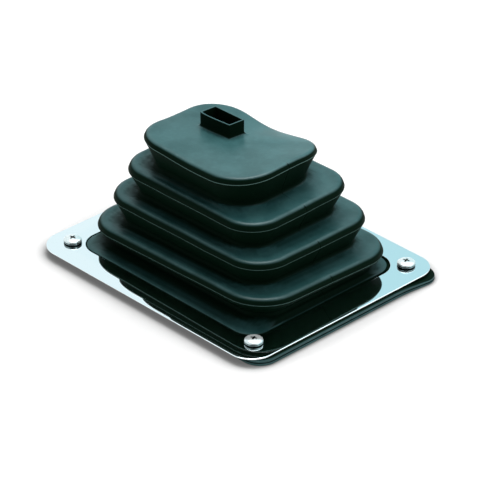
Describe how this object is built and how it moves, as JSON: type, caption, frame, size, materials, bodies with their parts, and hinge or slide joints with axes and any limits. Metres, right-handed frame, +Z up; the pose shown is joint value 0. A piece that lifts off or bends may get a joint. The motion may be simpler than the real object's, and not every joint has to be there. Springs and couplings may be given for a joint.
{
  "type": "gear lever gaiter",
  "caption": "Moulded rubber bellows gaiter for a gear lever, with an oblong slotted collar on its top pad, held down by a bright chromed trim plate and pan-head screws.",
  "frame": {"origin": "middle of the whole outline seen from above, on the flat underside of the base flange", "axes": "+Z up, away from the floor that the flange lies on; X along the plate's long side, with the collar nearer the -X end; Y along its short side, and the drooped corner of the flange is at +X +Y"},
  "size_m": [0.1646, 0.136, 0.079],
  "materials": {
    "moulded_rubber": "satin moulded rubber",
    "bright_chrome": "polished plating",
    "plated_steel": "bright plated screw"
  },
  "bodies": {
    "root": {"rubber_boot": "moulded_rubber", "trim_plate": "bright_chrome", "plate_screw_1": "plated_steel", "plate_screw_2": "plated_steel", "plate_screw_3": "plated_steel", "plate_screw_4": "plated_steel"}
  },
  "joints": []
}
